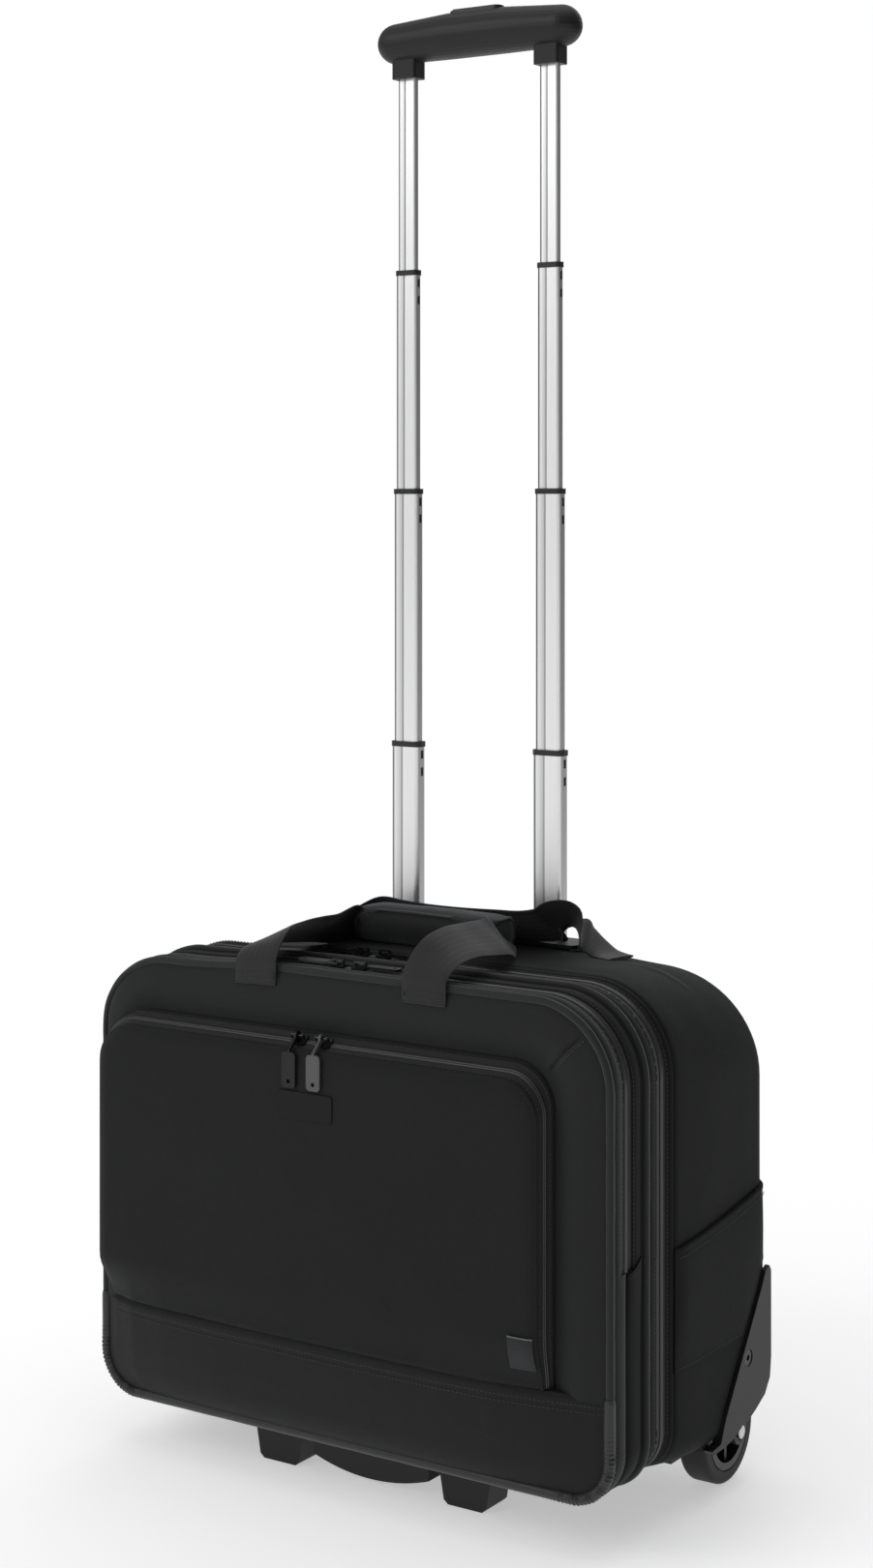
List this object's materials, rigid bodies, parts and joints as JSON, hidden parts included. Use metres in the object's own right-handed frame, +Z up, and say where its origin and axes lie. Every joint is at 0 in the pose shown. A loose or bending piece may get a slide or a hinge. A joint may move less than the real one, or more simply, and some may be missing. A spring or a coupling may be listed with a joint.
{
  "type": "rolling laptop case",
  "caption": "Soft rectangular wheeled laptop case with front pocket, zipped compartments, webbing carry handles and an extended telescoping trolley handle.",
  "frame": {"origin": "on the floor under the centre of the bounding box, between the wheels and the feet", "axes": "+Z up along the trolley handle, +Y towards the back, +X to the right as seen from the front"},
  "size_m": [0.446, 0.244, 1.0716],
  "materials": {
    "cloth": "heathered woven polyester, matte",
    "lining": "thin smooth lining",
    "coated_cloth": "coated cloth, slightly smoother",
    "piping": "cloth piping",
    "zipper": "coil zipper and tape",
    "webbing": "woven webbing",
    "wrap_cloth": "padded cloth with bound edges",
    "moulded_plastic": "textured moulding",
    "black_plastic": "smooth moulding",
    "grip_plastic": "satin moulding",
    "button_plastic": "satin moulding",
    "tube_metal": "satin anodised",
    "steel": "zinc plated",
    "slider_metal": "glossy black",
    "pull_grey": "satin grey",
    "plate": "blank raised plate",
    "label": "woven loop label, blank",
    "tyre": "soft tread",
    "hub_plastic": "moulded hub"
  },
  "bodies": {
    "main_case": {"zip_main_rear": "zipper", "rear_gusset": "cloth", "back_panel": "cloth", "false_back": "lining", "side_pockets": "cloth", "rear_handle": "webbing", "trolley_bezel": "moulded_plastic", "outer_tubes": "tube_metal", "tube_base": "moulded_plastic", "housings": "moulded_plastic", "guard_screws": "steel", "axles": "steel"},
    "front_section": {"zip_front_section": "zipper", "section_gusset": "cloth", "section_piping": "piping", "divider_panel": "lining", "bellows": "lining", "zip_main_section": "zipper", "front_skid": "moulded_plastic"},
    "front_flap": {"front_panel": "cloth", "kick_panel": "coated_cloth", "front_piping": "piping", "flap_gusset": "cloth", "zip_front_flap": "zipper", "pocket_gusset": "cloth", "pocket_face": "cloth", "name_plate": "plate", "flag_label": "label", "front_handle": "webbing", "handle_wrap": "wrap_cloth"},
    "wheel_left": {"tyre_left": "tyre", "hub_left": "hub_plastic"},
    "wheel_right": {"tyre_right": "tyre", "hub_right": "hub_plastic"},
    "stage_4": {"tubes_4": "tube_metal", "collars_4": "black_plastic"},
    "stage_3": {"tubes_3": "tube_metal", "collars_3": "black_plastic", "locks_3": "black_plastic"},
    "stage_2": {"tubes_2": "tube_metal", "collars_2": "black_plastic", "locks_2": "black_plastic"},
    "stage_1": {"tubes_1": "tube_metal", "locks_1": "black_plastic", "grip_upper": "grip_plastic", "grip_lower": "grip_plastic", "button_spring": "steel"},
    "button": {"release_button": "button_plastic"},
    "slider_pocket_l": {"slider_pocket_l": "slider_metal"},
    "pull_pocket_l": {"pull_pocket_l": "slider_metal"},
    "slider_pocket_r": {"slider_pocket_r": "slider_metal"},
    "pull_pocket_r": {"pull_pocket_r": "pull_grey"},
    "slider_front_l": {"slider_front_l": "slider_metal"},
    "pull_front_l": {"pull_front_l": "pull_grey"},
    "slider_front_r": {"slider_front_r": "slider_metal"},
    "pull_front_r": {"pull_front_r": "slider_metal"},
    "slider_main_l": {"slider_main_l": "slider_metal"},
    "pull_main_l": {"pull_main_l": "slider_metal"},
    "slider_main_r": {"slider_main_r": "slider_metal"},
    "pull_main_r": {"pull_main_r": "slider_metal"}
  },
  "joints": [
    {"name": "main_lid_hinge", "type": "hinge", "parent": "main_case", "child": "front_section", "pos_m": [0, -0.03197, 0.038], "axis": [1, 0, 0], "range_deg": [0, 95]},
    {"name": "front_flap_hinge", "type": "hinge", "parent": "front_section", "child": "front_flap", "pos_m": [0, -0.08097, 0.038], "axis": [1, 0, 0], "range_deg": [0, 25]},
    {"name": "wheel_left_spin", "type": "hinge", "parent": "main_case", "child": "wheel_left", "pos_m": [-0.2, 0.07903, 0.038], "axis": [1, 0, 0], "continuous": true},
    {"name": "wheel_right_spin", "type": "hinge", "parent": "main_case", "child": "wheel_right", "pos_m": [0.2, 0.07903, 0.038], "axis": [1, 0, 0], "continuous": true},
    {"name": "stage_4_slide", "type": "slide", "parent": "main_case", "child": "stage_4", "axis": [0, 0, 1], "range_m": [-0.1365, 0]},
    {"name": "stage_3_slide", "type": "slide", "parent": "stage_4", "child": "stage_3", "axis": [0, 0, 1], "range_m": [-0.1895, 0]},
    {"name": "stage_2_slide", "type": "slide", "parent": "stage_3", "child": "stage_2", "axis": [0, 0, 1], "range_m": [-0.1635, 0]},
    {"name": "stage_1_slide", "type": "slide", "parent": "stage_2", "child": "stage_1", "axis": [0, 0, 1], "range_m": [-0.145, 0]},
    {"name": "button_press", "type": "slide", "parent": "stage_1", "child": "button", "axis": [0, 0, 1], "range_m": [-0.004, 0], "stiffness_N_per_m": 600, "springref_m": 0.0005, "deforming": ["button_spring"]},
    {"name": "slider_pocket_l_slide", "type": "slide", "parent": "front_flap", "child": "slider_pocket_l", "axis": [1, 0, 0], "range_m": [-0.12, 0]},
    {"name": "pull_pocket_l_swing", "type": "hinge", "parent": "slider_pocket_l", "child": "pull_pocket_l", "pos_m": [-0.03, -0.11113, 0.32398], "axis": [1, 0, 0], "range_deg": [-100, 0]},
    {"name": "slider_pocket_r_slide", "type": "slide", "parent": "front_flap", "child": "slider_pocket_r", "axis": [1, 0, 0], "range_m": [0, 0.13]},
    {"name": "pull_pocket_r_swing", "type": "hinge", "parent": "slider_pocket_r", "child": "pull_pocket_r", "pos_m": [-0.009, -0.11113, 0.32398], "axis": [1, 0, 0], "range_deg": [-100, 0]},
    {"name": "slider_front_l_slide", "type": "slide", "parent": "front_section", "child": "slider_front_l", "axis": [1, 0, 0], "range_m": [-0.109, 0]},
    {"name": "pull_front_l_swing", "type": "hinge", "parent": "slider_front_l", "child": "pull_front_l", "pos_m": [-0.016, -0.08097, 0.3715], "axis": [0, 1, 0], "range_deg": [0, 110]},
    {"name": "slider_front_r_slide", "type": "slide", "parent": "front_section", "child": "slider_front_r", "axis": [1, 0, 0], "range_m": [0, 0.122]},
    {"name": "pull_front_r_swing", "type": "hinge", "parent": "slider_front_r", "child": "pull_front_r", "pos_m": [0.003, -0.08097, 0.3715], "axis": [0, -1, 0], "range_deg": [0, 110]},
    {"name": "slider_main_l_slide", "type": "slide", "parent": "main_case", "child": "slider_main_l", "axis": [1, 0, 0], "range_m": [-0.096, 0]},
    {"name": "pull_main_l_swing", "type": "hinge", "parent": "slider_main_l", "child": "pull_main_l", "pos_m": [-0.029, -0.03197, 0.3715], "axis": [0, 1, 0], "range_deg": [0, 110]},
    {"name": "slider_main_r_slide", "type": "slide", "parent": "main_case", "child": "slider_main_r", "axis": [1, 0, 0], "range_m": [0, 0.135]},
    {"name": "pull_main_r_swing", "type": "hinge", "parent": "slider_main_r", "child": "pull_main_r", "pos_m": [-0.01, -0.03197, 0.3715], "axis": [0, -1, 0], "range_deg": [0, 110]}
  ]
}
